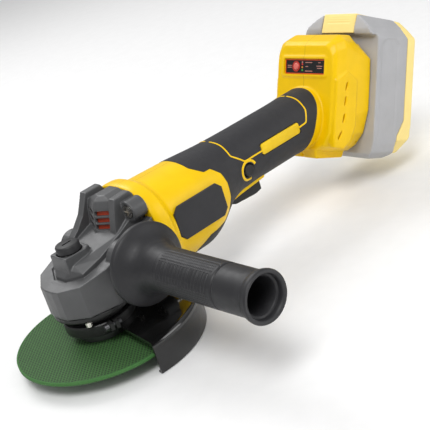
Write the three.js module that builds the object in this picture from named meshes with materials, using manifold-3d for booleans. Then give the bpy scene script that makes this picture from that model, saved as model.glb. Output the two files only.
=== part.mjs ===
// Cordless angle grinder for a 125 mm disc, built from separate solids.
// Units are millimetres, +Z is up. Heights are counted from the middle of the disc, and the whole
// group is lifted so that the end face of the spindle, on its axis, is the origin of the part.
// +X runs from the gear head to the battery, and the side handle points to -Y.
import * as THREE from "three";
import { mergeVertices } from "three/addons/utils/BufferGeometryUtils.js";
import Module from "manifold-3d";

const wasm = await Module();
wasm.setup();

// Driving dimensions.
const GAP = 0.3; // left between solids that touch
const SPINDLE_NOSE = 9; // end of the spindle below the middle of the disc
const DISC = { radius: 62.5, thick: 2.5, bore: 11.1 };
const MOTOR_Z = 49.5; // height of the motor axis
const HANDLE_AT = [17.9, 0, 51]; // side-handle axis, along Y
const HANDLE = { start: -50, end: -161.5, flange: 27, grip: 14, rim: 16 };
const GUARD = { radius: 68, wall: 2, top: 11.2, bottom: -11.6, from: -96, to: 83 };
const HEAD = { radius: 28.8, bottom: 26, back: 43, backHalf: 33 };
const COLLAR = { neck: 20.6, inner: 21, outer: 24.8, top: 16.8 };
const SCREW_Y = 25; // corner screws of the gear head, off the motor axis
const SCREW_Z = 27;
const TEETH = { crown: 24, pinion: 8 };
const PACK_TILT = THREE.MathUtils.degToRad(23.3); // the rear block leans back by this
const PACK_AT = [216.1, 0, 54.8]; // middle of the rear block's front face
const PACK = { front: 40.6, back: 83.5, half: 37, top: 83.6, bottom: -26.5 };
const RAIL = { front: 29.3, lip: 36.2, wide: 22.6, neck: 18.6, low: -13.4, high: 48 };
const CELL = { radius: 9.1, length: 65 };
const TRIGGER = { pivotX: 122, pivotZ: 41, end: 154, low: 30.2, half: 9.4 };
const LOCK = { x: -4.2, radius: 8.2, top: 69, bottom: 63.1, floor: 57.2, pinX: -9.6, pin: 2 };
const ROUND = 32; // sides of a large round
const SMALL_ROUND = 16; // sides of a small round

// Stations of the handle body: middle height, half width, half height and squareness of a section.
const BODY = [
  { x: 43.3, mid: 50.6, wide: 35.6, high: 35.2, square: 2.5 },
  { x: 46, mid: 50.6, wide: 37.2, high: 36.3, square: 2.45 },
  { x: 56, mid: 50.6, wide: 37.2, high: 36.2, square: 2.4 },
  { x: 62, mid: 49.8, wide: 33.4, high: 33, square: 2.2 },
  { x: 92, mid: 49.5, wide: 32.8, high: 32.6, square: 2.15 },
  { x: 103, mid: 51.3, wide: 30.6, high: 30.2, square: 2.15 },
  { x: 112, mid: 54.3, wide: 27.4, high: 26.8, square: 2.15 },
  { x: 121, mid: 57, wide: 24.2, high: 23.8, square: 2.15 },
  { x: 132, mid: 58.7, wide: 22, high: 22, square: 2.15 },
  { x: 150, mid: 59.2, wide: 21.2, high: 21.4, square: 2.15 },
  { x: 194, mid: 59.2, wide: 21.3, high: 21.4, square: 2.15 },
  { x: 208, mid: 59, wide: 22.2, high: 21.8, square: 2.2 },
  { x: 230, mid: 59, wide: 22.8, high: 22, square: 2.2 },
];
// Side view of where the overmould covers the body: its front edge steps down over the motor.
const OVERMOULD_EDGE = [
  [89, 90], [92, 78], [99, 72.5], [105, 72], [111, 66], [113, 58], [112.5, 47],
  [109, 38], [103, 33.5], [86, 32], [76, 25], [71, 10], [191, 10], [199, 40], [210, 60],
  [217.5, 71], [223, 81], [226, 90],
];
const BADGE = { x: [59.5, 102.5], z: [41, 65.3], corner: 4.2, y: 33.3 };
const BADGE_PAD = { x: [53.5, 108.6], z: [35.8, 71], corner: 7 };
const GRIP_PLATE = { x: [154.5, 194], z: [58.6, 67] };

// Solids from three.js geometries.
function solid(geometry) {
  const loose = geometry.index ? geometry.toNonIndexed() : geometry;
  const bare = new THREE.BufferGeometry().setAttribute("position", loose.getAttribute("position"));
  const merged = mergeVertices(bare, 1e-3);
  const corners = merged.index.array;
  const triVerts = [];
  for (let i = 0; i < corners.length; i += 3) {
    const [a, b, c] = [corners[i], corners[i + 1], corners[i + 2]];
    if (a !== b && b !== c && c !== a) triVerts.push(a, b, c);
  }
  const vertProperties = merged.attributes.position.array;
  const build = (order) =>
    new wasm.Manifold(new wasm.Mesh({ numProp: 3, vertProperties, triVerts: new Uint32Array(order) }));
  const made = build(triVerts);
  return made.volume() < 0 ? build(triVerts.reverse()) : made;
}

function join(...pieces) {
  return pieces.reduce((all, piece) => all.add(piece));
}

function cut(from, ...pieces) {
  return pieces.reduce((left, piece) => left.subtract(piece), from);
}

function placed(geometry, axis, at) {
  if (axis === "x") geometry.rotateZ(-Math.PI / 2);
  if (axis === "z") geometry.rotateX(Math.PI / 2);
  return geometry.translate(...at);
}

// A straight or tapered round from one height to another along an axis through the point at.
function rod(radius, from, to, axis = "z", at = [0, 0, 0], sides = SMALL_ROUND, endRadius = radius) {
  const geometry = new THREE.CylinderGeometry(endRadius, radius, to - from, sides);
  geometry.translate(0, (from + to) / 2, 0);
  return solid(placed(geometry, axis, at));
}

function turned(profile, axis = "z", at = [0, 0, 0], sides = ROUND) {
  const points = profile.map(([radius, height]) => new THREE.Vector2(radius, height));
  return solid(placed(new THREE.LatheGeometry(points, sides), axis, at));
}

function ring(inner, outer, from, to, axis = "z", at = [0, 0, 0], sides = ROUND) {
  const profile = [[inner, from], [outer, from], [outer, to], [inner, to], [inner, from]];
  return turned(profile, axis, at, sides);
}

function brick(low, high) {
  const size = high.map((value, i) => value - low[i]);
  const middle = high.map((value, i) => (value + low[i]) / 2);
  return solid(new THREE.BoxGeometry(...size).translate(...middle));
}

// A flat outline drawn in the two axes other than the given one, and extruded along it.
function plate(outline, from, to, axis = "z") {
  const shape = new THREE.Shape(outline.map(([a, b]) => new THREE.Vector2(a, b)));
  const geometry = new THREE.ExtrudeGeometry(shape, { depth: to - from, bevelEnabled: false });
  const [X, Y, Z] = [[1, 0, 0], [0, 1, 0], [0, 0, 1]].map((v) => new THREE.Vector3(...v));
  const turn = new THREE.Matrix4();
  if (axis === "x") turn.makeBasis(Y, Z, X).setPosition(from, 0, 0);
  if (axis === "y") turn.makeBasis(X, Z, Y.negate()).setPosition(0, to, 0);
  if (axis === "z") turn.setPosition(0, 0, from);
  return solid(geometry.applyMatrix4(turn));
}

// A closed skin through rings of points, with flat ends.
function loft(rings) {
  const count = rings[0].length;
  const positions = [];
  const push = (...points) => points.forEach((p) => positions.push(...p));
  for (let r = 0; r + 1 < rings.length; r++)
    for (let i = 0; i < count; i++) {
      const j = (i + 1) % count;
      push(rings[r][i], rings[r][j], rings[r + 1][j]);
      push(rings[r][i], rings[r + 1][j], rings[r + 1][i]);
    }
  for (const [end, flip] of [[rings[0], true], [rings[rings.length - 1], false]])
    for (let i = 1; i + 1 < count; i++) {
      if (flip) push(end[0], end[i + 1], end[i]);
      else push(end[0], end[i], end[i + 1]);
    }
  const skin = new THREE.BufferGeometry();
  return solid(skin.setAttribute("position", new THREE.Float32BufferAttribute(positions, 3)));
}

function chamfered([x0, x1], [z0, z1], c) {
  return [
    [x0 + c, z0], [x1 - c, z0], [x1, z0 + c], [x1, z1 - c],
    [x1 - c, z1], [x0 + c, z1], [x0, z1 - c], [x0, z0 + c],
  ];
}

function mirrored(piece) {
  return piece.mirror([0, 1, 0]);
}

function spun(piece, degrees) {
  return piece.rotate([0, 0, degrees]);
}

// Nodes.
const grinder = new THREE.Group();
grinder.position.z = SPINDLE_NOSE;

function paint(color, roughness, metalness = 0) {
  return new THREE.MeshStandardMaterial({ color, roughness, metalness });
}

const yellow = paint(0xf2c800, 0.45);
const black = paint(0x232325, 0.6);
const softBlack = paint(0x343437, 0.75);
const castGrey = paint(0x56575a, 0.55, 0.5);
const steel = paint(0xb9bcc0, 0.35, 1);
const darkSteel = paint(0x6c6f73, 0.4, 1);
const discGreen = paint(0x2f6b2d, 0.9);
const copper = paint(0xb5673a, 0.4, 1);
const boardGreen = paint(0x1d5a36, 0.6);
const packGrey = paint(0xb0b0b0, 0.6);
const packYellow = paint(0xf4dd92, 0.55);
const red = paint(0xc8281c, 0.5);
const fanRed = paint(0x9c3216, 0.6);
const cellBlue = paint(0x3a6ea5, 0.4);

function add(name, piece, material, parent = grinder) {
  const { numProp, vertProperties, triVerts, numVert } = piece.getMesh();
  const positions = new Float32Array(numVert * 3);
  for (let i = 0; i < numVert; i++)
    for (let k = 0; k < 3; k++) positions[i * 3 + k] = vertProperties[i * numProp + k];
  const geometry = new THREE.BufferGeometry();
  geometry.setAttribute("position", new THREE.BufferAttribute(positions, 3));
  geometry.setIndex(new THREE.BufferAttribute(new Uint32Array(triVerts), 1));
  const mesh = new THREE.Mesh(geometry, material);
  mesh.name = name;
  parent.add(mesh);
}

// Pan-head screw along +axis: the head's face is at from, the shank ends at to.
function screw(from, to, axis, at, headRadius = 3.6, shank = 1.9) {
  const step = from < to ? 1 : -1;
  const [low, high] = step > 0 ? [from, from + 3] : [from - 3, from];
  const head = rod(headRadius, low, high, axis, at, 12);
  const stem = rod(shank, Math.min(from + step * 2.8, to), Math.max(from + step * 2.8, to), axis, at, 8);
  const slot = [[headRadius * 0.6, 0.6], [0.6, headRadius * 0.6]].map(([a, b]) => {
    const spans = { x: [[-1.2, -a, -b], [1.2, a, b]], y: [[-a, -1.2, -b], [a, 1.2, b]] };
    spans.z = [[-a, -b, -1.2], [a, b, 1.2]];
    const face = { x: [from, at[1], at[2]], y: [at[0], from, at[2]], z: [at[0], at[1], from] }[axis];
    return brick(...spans[axis].map((corner) => corner.map((value, i) => value + face[i])));
  });
  return cut(join(head, stem), ...slot);
}

// Gear head: a rounded nose over the crown gear that widens to the joint with the motor housing.
function headOutline() {
  const near = [[-28.8, -4], [-27.8, -10.5], [-18.6, -24.2], [1, -30.4], [HEAD.back, -HEAD.backHalf]];
  return [...near, ...near.map(([x, y]) => [x, -y]).reverse()];
}

// Outline of the deck seen from above, and of the groove that runs around it.
function deckOutline(grow = 0) {
  const near = [[-17 - grow, -5.5], [-9.5 - grow, -17.5 - grow], [5, -19.5 - grow], [HEAD.back, -25 - grow]];
  return [...near, ...near.map(([x, y]) => [x, -y]).reverse()];
}

// Vertical walls under sloping shoulders, lowered by the depth given.
function headBase(depth) {
  const { bottom, back } = HEAD;
  const shoulders = [
    [-40, bottom], [back, bottom], [back, 68.5 - depth], [1, 53 - depth], [-18, 48.8 - depth],
    [-40, 44.5 - depth],
  ];
  return plate(headOutline(), 20, 90, "z").intersect(plate(shoulders, -40, 40, "y"));
}

// The base, with a groove around a narrower deck that climbs to the exhaust hood.
function headBody() {
  return join(cut(headBase(0), plate(deckOutline(1.8), 40, 90, "z")), headBase(1.4), headDeck());
}

// Stations of the deck: x, half width and height of its rim, half width and height of its flat top.
function headDeck() {
  const stations = [
    [-17, 5.5, 50, 5, 50.2], [-13.4, 11.4, 51, 9, 55], [-9.5, 17.5, 52, 10.5, 57],
    [5, 19.5, 56.5, 13, 59.6], [23, 22, 65.4, 15, 66.2], [HEAD.back, 25, 77, 16, 78],
  ];
  return loft(stations.map(([x, rim, rimZ, flat, flatZ]) => [
    [x, -rim, 40], [x, rim, 40], [x, rim, rimZ], [x, flat, flatZ], [x, -flat, flatZ], [x, -rim, rimZ],
  ]));
}

// Block of the exhaust hood with a V-shaped front, moved back by the depth given.
function hoodBlock(depth, half) {
  const levels = [[56, 16.2], [80, 22], [84, 24.5], [87, 29.5]];
  return loft(levels.map(([z, ridge]) => {
    const front = ridge + depth;
    const side = front + 0.4 * half;
    return [[front, 0, z], [side, -half, z], [HEAD.back, -half, z], [HEAD.back, half, z], [side, half, z]];
  }));
}

// The hood between two walls; the far wall runs down beside the lock button.
function exhaustHood() {
  const { back } = HEAD;
  const roof = [
    [-16, 55], [16, 55], [16, 80.5], [11.5, 84], [5, 86.6], [-5, 86.6], [-11.5, 84], [-16, 80.5],
  ];
  const block = hoodBlock(0, 16).intersect(plate(roof, 10, back, "x"));
  const nearSide = [[19.5, 58], [21.5, 67], [26, 81], [28, 86.5], [40.8, 87], [back, 84], [back, 58]];
  const farSide = [
    [4, 50], [4, 55], [8.5, 63.5], [13.5, 67.3], [20.5, 74.2], [24.5, 81], [28, 87.4], [40.8, 87.6],
    [back, 84], [back, 50],
  ];
  return join(block, plate(nearSide, -20, -13.5, "y"), plate(farSide, 13.5, 20, "y"));
}

function hoodVents() {
  const slots = [];
  for (let i = 0; i < 3; i++) {
    const low = 66.2 + i * 4.5;
    slots.push(brick([10, -11.6, low], [40, -0.9, low + 3]), brick([10, 0.9, low], [40, 11.6, low + 3]));
  }
  return join(...slots);
}

function gearHousing() {
  const bosses = cornerSpots().map((at) => rod(7.2, 32, HEAD.back, "x", at, 24));
  const handleBoss = rod(13, -48.9, -24, "y", HANDLE_AT, 32);
  const farBoss = rod(10.5, 24, 35.5, "y", HANDLE_AT, 24);
  const cradleLow = [[-14.8, -9.8], [4, -11.5], [9, -8.5], [9, 8.5], [4, 11.5], [-14.8, 9.8]];
  const cradleTop = [[-13.8, -9.2], [2, -10.2], [6.5, -7.5], [6.5, 7.5], [2, 10.2], [-13.8, 9.2]];
  const cradle = loft([cradleLow.map((p) => [...p, 48]), cradleTop.map((p) => [...p, 63.6])]);
  const shell = join(headBody(), exhaustHood(), ...bosses, handleBoss, farBoss, cradle);
  const gearRoom = turned([[0, 20], [23.8, 20], [23.8, 43.6], [20, 45], [0, 45], [0, 20]]);
  const spindleSeat = rod(6.4, 40, 54.4, "z", [0, 0, 0], 24);
  const shaftRoom = rod(9.6, 13.6, 34, "x", [0, 0, MOTOR_Z], 32);
  const bearingSeat = rod(13.3, 33.8, 44, "x", [0, 0, MOTOR_Z], 32);
  const airRoom = hoodBlock(2.2, 12.2).intersect(brick([15, -20, 63.5], [HEAD.back, 20, 81.5]));
  const airWay = brick([36, -12.2, 63.5], [44, 12.2, 81.5]);
  const pinHole = rod(LOCK.pin + 0.4, 40, 70, "z", [LOCK.pinX, 0, 0], 16);
  const lockPocket = rod(LOCK.radius + 0.5, LOCK.floor, 70, "z", [LOCK.x, 0, 0], 32);
  const handleHoles = [-1, 1].map((side) =>
    rod(5.3, Math.min(side * 30.5, side * 50), Math.max(side * 30.5, side * 50), "y", HANDLE_AT, 24),
  );
  const screwHoles = cornerSpots().map((at) => rod(2.3, 30, 44, "x", at, 12));
  const headSinks = cornerSpots().map((at) => rod(4.7, 20, 34.9, "x", at, 20));
  return cut(
    shell, gearRoom, spindleSeat, shaftRoom, bearingSeat, airRoom, airWay, hoodVents(), pinHole, lockPocket,
    ...handleHoles, ...screwHoles, ...headSinks,
    ...plateSpots().map((at) => rod(1.8, 20, 34, "z", at, 10)),
  );
}

function cornerSpots() {
  const corners = [[-1, 1], [1, 1], [-1, -1], [1, -1]];
  return corners.map(([side, up]) => [0, side * SCREW_Y, MOTOR_Z + up * SCREW_Z]);
}

function plateSpots() {
  return [45, 135, 225, 315].map((degrees) => {
    const angle = THREE.MathUtils.degToRad(degrees);
    return [26.1 * Math.cos(angle), 26.1 * Math.sin(angle), 0];
  });
}

function spindleLockButton() {
  const { x, radius, top, bottom, pinX, pin } = LOCK;
  const cap = rod(radius, bottom, top, "z", [x, 0, 0], 32);
  const stem = rod(pin, 40.2, bottom + 0.4, "z", [pinX, 0, 0], 12);
  const mark = brick([x - 3.5, -0.9, top - 0.8], [x + 3.5, 0.9, top + 1]);
  return cut(join(cap, stem), mark);
}

function spindleLockSpring() {
  const turns = 3.5;
  const coil = LOCK.pin + 0.9;
  const floor = LOCK.floor + 0.7;
  const path = new THREE.Curve();
  path.getPoint = (t) => {
    const angle = 2 * Math.PI * turns * t;
    const height = floor + (LOCK.bottom - 0.9 - floor) * t;
    return new THREE.Vector3(LOCK.pinX + coil * Math.cos(angle), coil * Math.sin(angle), height);
  };
  const wire = new THREE.Shape().absarc(0, 0, 0.45, 0, 2 * Math.PI);
  return solid(new THREE.ExtrudeGeometry(wire, { steps: 26, curveSegments: 2, extrudePath: path }));
}

// Red filter mesh behind the slots of the hood.
function hoodFilter() {
  const sheet = cut(hoodBlock(2.6, 11.8), hoodBlock(4, 13));
  return sheet.intersect(brick([15, -20, 63.8], [HEAD.back, 20, 81.2]));
}

function bearingPlate() {
  const flange = rod(HEAD.radius - 0.2, 22.2, HEAD.bottom - GAP, "z", [0, 0, 0], ROUND);
  const neck = rod(COLLAR.neck, 9.2, 22.4, "z", [0, 0, 0], ROUND);
  const seat = rod(16.3, 15, 27, "z", [0, 0, 0], 32);
  const bore = rod(10, 5, 20, "z", [0, 0, 0], 32);
  const holes = plateSpots().map((at) => rod(2.2, 15, 30, "z", at, 12));
  return cut(join(flange, neck), seat, bore, ...holes);
}

function wheelGuard() {
  const { radius, wall, top, bottom, from, to } = GUARD;
  const skirt = ring(radius - wall, radius, bottom, top);
  const lip = ring(radius - wall - 2.4, radius, bottom, bottom + 1.6);
  const deck = ring(COLLAR.inner, radius, top - wall, top);
  const keep = spun(brick([0, -90, -50], [90, 90, 50]), (from + to) / 2);
  const collar = ring(COLLAR.inner, COLLAR.outer, top - wall, COLLAR.top);
  const ears = [-1, 1].map((side) => brick([22.6, 2 * side - 1.3, 12], [30, 2 * side + 1.3, 16.8]));
  const clamp = join(...ears);
  const split = brick([19, -0.7, top + 0.3], [34, 0.7, 19]);
  const body = join(skirt, lip, deck).intersect(keep);
  const hole = rod(1.9, -10, 10, "y", [27, 0, 14.4], 12);
  const turn = (piece) => spun(piece, from - 7);
  return cut(join(body, collar, turn(clamp)), turn(split), turn(hole));
}

function guardClampScrew() {
  return spun(screw(-6.6, 5.5, "y", [27, 0, 14.4], 2.2, 1.5), GUARD.from - 7);
}

function spindle() {
  return turned([
    [0, -SPINDLE_NOSE], [6.4, -SPINDLE_NOSE], [6.9, -8.4], [6.9, 8], [8.2, 8], [8.2, 14.7],
    [5.9, 14.7], [5.9, 46.5], [3.2, 46.5], [3.2, 53.6], [0, 53.6],
  ], "z", [0, 0, 0], 20);
}

function bearing(inner, outer, from, to, axis, at = [0, 0, 0]) {
  const groove = (outer - inner) / 4;
  return turned([
    [inner, from], [inner + groove, from], [inner + groove, from + 0.8],
    [outer - groove, from + 0.8], [outer - groove, from], [outer, from], [outer, to],
    [outer - groove, to], [outer - groove, to - 0.8], [inner + groove, to - 0.8],
    [inner + groove, to], [inner, to], [inner, from],
  ], axis, at, 18);
}

function crownGear() {
  const blank = [[6.2, 27.4], [19, 27.4], [22.6, 31], [22.6, 38], [6.2, 38], [6.2, 27.4]];
  const body = turned(blank, "z", [0, 0, 0], 24);
  const teeth = [];
  for (let i = 0; i < TEETH.crown; i++) {
    const tooth = plate([[-0.7, 37.6], [0.7, 37.6], [0.3, 41.6], [-0.3, 41.6]], 15.4, 22.4, "x");
    teeth.push(spun(tooth, ((i + 0.5) * 360) / TEETH.crown));
  }
  const lockHole = rod(2.7, 26, 40, "z", [LOCK.pinX, 0, 0], 12);
  const lockHoles = [0, 90, 180, 270].map((turn) => spun(lockHole, turn));
  return cut(join(body, ...teeth), ...lockHoles);
}

function pinion() {
  const outline = [];
  for (let i = 0; i < TEETH.pinion; i++) {
    const middle = -Math.PI / 2 + (i * 2 * Math.PI) / TEETH.pinion;
    for (const [turn, radius] of [[-0.26, 5.4], [-0.08, 8.5], [0.08, 8.5], [0.26, 5.4]])
      outline.push([radius * Math.cos(middle + turn), MOTOR_Z + radius * Math.sin(middle + turn)]);
  }
  const hub = rod(5.4, 21.8, 26, "x", [0, 0, MOTOR_Z], 16);
  return cut(join(plate(outline, 15, 22, "x"), hub), rod(4.1, 14, 27, "x", [0, 0, MOTOR_Z], 16));
}

function motorShaft() {
  const at = [0, 0, MOTOR_Z];
  return join(rod(3.8, 14.6, 30, "x", at), rod(4.7, 29.9, 96, "x", at), rod(3.7, 95.9, 105.4, "x", at));
}

function coolingFan() {
  const at = [0, 0, MOTOR_Z];
  const blades = [];
  for (let i = 0; i < 14; i++) {
    const blade = brick([-5.5, -0.6, 10], [3.5, 0.6, 28.5]).rotate([0, 0, 14]);
    blades.push(blade.rotate([(i * 360) / 14, 0, 0]).translate([51, 0, MOTOR_Z]));
  }
  const disc = ring(5, 28.5, 54.6, 56.4, "x", at, 32);
  const hub = ring(5, 11.5, 46, 56.4, "x", at, 32);
  return join(disc, hub, ...blades);
}

function rotor() {
  const at = [0, 0, MOTOR_Z];
  return ring(5, 13.2, 60.5, 91.5, "x", at, 24);
}

function stator() {
  const at = [0, 0, MOTOR_Z];
  const core = ring(20, 27.6, 62, 90, "x", at, 24);
  const poles = [];
  for (let i = 0; i < 6; i++) {
    const pole = brick([62, -2.6, 14.2], [90, 2.6, 20.6]);
    const coil = brick([59.4, -5, 15.6], [92.6, 5, 19.6]);
    poles.push(join(pole, coil).rotate([i * 60, 0, 0]).translate([0, 0, MOTOR_Z]));
  }
  return join(core, ...poles);
}

// Handle body: superellipse sections along the stations.
function bodySection({ x, mid, wide, high, square }, grow, sides) {
  const points = [];
  for (let i = 0; i < sides; i++) {
    const angle = (i * 2 * Math.PI) / sides;
    const [c, s] = [Math.cos(angle), Math.sin(angle)];
    const y = (wide + grow) * Math.sign(c) * Math.abs(c) ** (2 / square);
    const z = mid + (high + grow) * Math.sign(s) * Math.abs(s) ** (2 / square);
    points.push([x, y, z]);
  }
  return points;
}

function bodyLoft(grow, from = 0, to = 999, sides = 28) {
  const stations = BODY.filter(({ x }) => x >= from && x <= to);
  return loft(stations.map((station) => bodySection(station, grow, sides)));
}

function overmouldRegion() {
  return plate(OVERMOULD_EDGE, -60, 60, "y");
}

// Rear block, in its own tilted frame: x' out of the back, z' up along the battery slide.
function tilted(piece) {
  const degrees = THREE.MathUtils.radToDeg(PACK_TILT);
  return piece.rotate([0, degrees, 0]).translate(PACK_AT);
}

// Half outlines of the block from its underside up to its top, one for each depth x'.
const BLOCK_SECTIONS = [
  {
    x: 0,
    half: [[14, -19.5], [23, -15.5], [28, -6], [29, 6], [29, 44], [28.2, 51.5], [25, 56.5], [21.5, 58.7]],
  },
  {
    x: 3,
    half: [[15, -20.5], [25, -16], [30, -6], [31, 6], [31, 46], [30.4, 54.5], [28, 60], [24, 62.2]],
  },
  {
    x: 12,
    half: [[16, -21], [26, -16], [31, -6], [31.7, 6], [31.7, 50], [31.4, 57.5], [29, 63.3], [23, 67.2]],
  },
  {
    x: 26,
    half: [[16, -21], [26, -16], [31, -6], [31.7, 8], [31.7, 45], [31, 54], [26.5, 61.5], [20, 67.4]],
  },
  {
    x: 40,
    half: [[11.4, -21], [19.6, -16], [27.2, -6], [31.2, 11], [31.2, 40], [31, 49.5], [20.5, 58], [13, 67]],
  },
];

function blockRing({ x, half }, shrink = 0) {
  const low = half[0][1] + shrink;
  const high = half[half.length - 1][1] - shrink;
  const right = half.map(([y, z]) => [y - shrink, Math.min(Math.max(z, low), high)]);
  const left = right.map(([y, z]) => [-y, z]).reverse();
  return [...right, ...left].map(([y, z]) => [x, y, z]);
}

function blockBody() {
  const foot = plate([[2, -26], [30, -26], [33, -18], [0, -18]], -15, 15, "y");
  return join(loft(BLOCK_SECTIONS.map((section) => blockRing(section))), foot);
}

function blockRoom() {
  const wall = 3;
  const rear = { x: RAIL.front - 4, half: BLOCK_SECTIONS[3].half };
  const front = { x: wall + 1, half: BLOCK_SECTIONS[1].half };
  const room = loft([front, BLOCK_SECTIONS[2], rear].map((section) => blockRing(section, wall)));
  const vents = [29, 18.5, 7.5, -3.5].map((z) => brick([11.6, 25, z - 3.4], [13.4, 40, z + 3.4]));
  return join(room, ...vents, ...vents.map(mirrored));
}

function slideBay() {
  const { front, lip, low } = RAIL;
  const [wide, neck] = [RAIL.wide + 0.4, RAIL.neck + 0.4];
  const channel = brick([front - 0.8, -wide, low - 0.6], [lip + 0.4, wide, 80]);
  return join(channel, brick([lip, -neck, low - 0.6], [50, neck, 80]));
}

function displayPocket() {
  return join(brick([-2, -21.4, 37], [2.2, 21.4, 48.7]), rod(3.1, 0, 8, "x", [0, 9, 43], 16));
}

function bladeSlots() {
  return [-10.5, 10.5].map((y) => brick([24, y - 1, -0.5], [30, y + 1, 20.5]));
}

function shellPads() {
  const pad = plate(chamfered(BADGE_PAD.x, BADGE_PAD.z, BADGE_PAD.corner), -34.6, -22, "y");
  return join(pad, mirrored(pad));
}

function badgePockets() {
  const outline = chamfered(widened(BADGE.x), widened(BADGE.z), BADGE.corner);
  const pocket = plate(outline, -40, -BADGE.y + 1.5, "y");
  return join(pocket, mirrored(pocket));
}

function widened([low, high], grow = GAP) {
  return [low - grow, high + grow];
}

function badge() {
  return plate(chamfered(BADGE.x, BADGE.z, BADGE.corner), -BADGE.y - 0.4, -BADGE.y + 1.2, "y");
}

function triggerSlot() {
  const { pivotX, end, half } = TRIGGER;
  return brick([pivotX - 6.5, -half - 0.5, 20], [end + 1.2, half + 0.5, 56]);
}

function clamshellPosts() {
  return clamshellSpots().map(([x, z]) => rod(3.9, -30, 30, "y", [x, 0, z], 12));
}

function clamshellSpots() {
  return [[113, 72], [200, 47], [200, 72]];
}

function gripPlatePocket(grow) {
  const [x0, x1] = widened(GRIP_PLATE.x, grow);
  const [z0, z1] = widened(GRIP_PLATE.z, grow);
  return brick([x0, -26, z0], [x1, -18.9 + grow, z1]);
}

// Both clamshell halves before they are split: yellow skin, with rooms for the motor and switch.
function housingWhole() {
  const gapRegion = join(
    overmouldRegion().translate([-GAP, 0, -GAP]),
    overmouldRegion().translate([-GAP, 0, GAP]),
    overmouldRegion(),
  );
  const underBlock = tilted(brick([-260, -60, -120], [-0.3, 60, 160]));
  const motorSkin = cut(join(bodyLoft(0), shellPads()), gapRegion.intersect(underBlock));
  const core = bodyLoft(-2.4, 92);
  const ringSkin = bodyLoft(-2.4, 56, 103);
  const outside = join(motorSkin, ringSkin, core, tilted(blockBody()));
  const motorRoom = rod(30, 57.6, 96, "x", [0, 0, MOTOR_Z], 36);
  const fanRoom = rod(31.2, 40, 57.8, "x", [0, 0, MOTOR_Z], 36);
  const throat = rod(7, 95, 112, "x", [0, 0, MOTOR_Z], 24);
  const bearingRoom = rod(9.9, 97.6, 104.6, "x", [0, 0, MOTOR_Z], 24);
  const gripRoom = bodyLoft(-5, 110, 210, 16);
  const passage = bodyLoft(-9, 206, 999, 12);
  const blockRooms = [blockRoom(), slideBay(), ...bladeSlots()].map(tilted);
  const rooms = [motorRoom, fanRoom, throat, gripRoom, passage, ...blockRooms];
  const posts = join(...clamshellPosts()).intersect(bodyLoft(-3, 103, 216));
  const hollow = cut(outside, ...rooms);
  const withPosts = join(hollow, posts);
  const shaftHoles = cornerSpots().map((at) => rod(2.2, 40, 54, "x", at, 12));
  return cut(
    withPosts, bearingRoom, triggerSlot(), badgePockets(), tilted(displayPocket()), lockOnHole(),
    gripPlatePocket(GAP), mirrored(gripPlatePocket(GAP)), ...shaftHoles, ...clamshellScrewHoles(),
  );
}

function clamshellScrewHoles() {
  return clamshellSpots().flatMap(([x, z]) => [
    rod(1.9, -12, 30, "y", [x, 0, z], 10),
    rod(3.7, 12.2, 40, "y", [x, 0, z], 16),
  ]);
}

function halfOf(piece, side) {
  const seam = GAP / 2;
  const keep = side < 0 ? brick([-50, -60, -60], [350, -seam, 200]) : brick([-50, seam, -60], [350, 60, 200]);
  return piece.intersect(keep);
}

function overmouldWhole() {
  const behind = tilted(brick([-260, -60, -120], [-0.6, 60, 160]));
  const skin = bodyLoft(0, 56).intersect(overmouldRegion()).intersect(behind);
  return cut(
    skin, bodyLoft(-2.1, 56), bodyLoft(-2.1, 92), triggerSlot(), lockOnHole(), shellPadsRoom(),
    gripPlatePocket(GAP), mirrored(gripPlatePocket(GAP)),
    ...clamshellSpots().map(([x, z]) => rod(3.9, 0, 40, "y", [x, 0, z], 16)),
  );
}

function shellPadsRoom() {
  const { x, z, corner } = BADGE_PAD;
  const room = plate(chamfered(widened(x), widened(z), corner), -40, -22, "y");
  return join(room, mirrored(room));
}

function lockOnHole() {
  return rod(4.7, -40, -10, "y", [138.2, 0, 54.6], 20);
}

function lockOnButton() {
  const cap = rod(4.3, -22.6, -16, "y", [138.2, 0, 54.6], 20);
  return join(cap, rod(2.2, -16.2, -10.6, "y", [138.2, 0, 54.6], 12));
}

function trigger() {
  const { pivotX, pivotZ, end, low, half } = TRIGGER;
  const side = [
    [pivotX - 3, pivotZ + 2], [pivotX - 4.5, pivotZ - 3], [pivotX - 1, 34], [pivotX + 6, low + 0.6],
    [end - 6, low - 0.8], [end, low + 0.4], [end + 0.2, pivotZ + 5], [end - 12, pivotZ + 5],
    [pivotX + 4, pivotZ + 4],
  ];
  const body = plate(side, -half, half, "y");
  return cut(body, rod(2.3, -20, 20, "y", [pivotX, 0, pivotZ], 12));
}

function triggerPin() {
  const { pivotX, pivotZ } = TRIGGER;
  return rod(2, -11.6, 11.6, "y", [pivotX, 0, pivotZ], 12);
}

function triggerPinHole() {
  const { pivotX, pivotZ } = TRIGGER;
  return rod(2.3, -12, 12, "y", [pivotX, 0, pivotZ], 12);
}

function switchBody() {
  const box = brick([128, -8, 53], [156, 8, 71]);
  return join(box, brick([141, -2.5, 51.8], [146, 2.5, 54]));
}

function sideHandle() {
  const { start, end, flange, grip, rim } = HANDLE;
  const outer = [
    [0, start], [flange, start], [flange, start - 3], [flange - 5, start - 5.5], [19, start - 8.5],
    [16, start - 14], [grip + 0.6, start - 24], [grip + 0.2, -129], [grip - 0.8, -130.5],
    [grip - 0.2, -132], [grip, -150], [rim, -158], [rim, end + 1], [rim - 0.8, end], [rim - 2.6, end],
    [rim - 3.4, -157.5], [rim - 4.6, -157], [rim - 5, -76], [0, -76],
  ];
  const body = turned([...outer, [0, start]], "y", HANDLE_AT);
  const nut = plate(hexOutline(8.4), -64.5, -48, "y").translate(HANDLE_AT);
  const clearance = rod(5.3, -72, -48, "y", HANDLE_AT, 24);
  return cut(body, clearance, nut.intersect(brick([-40, -64.5, 0], [60, -56, 90])));
}

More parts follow.
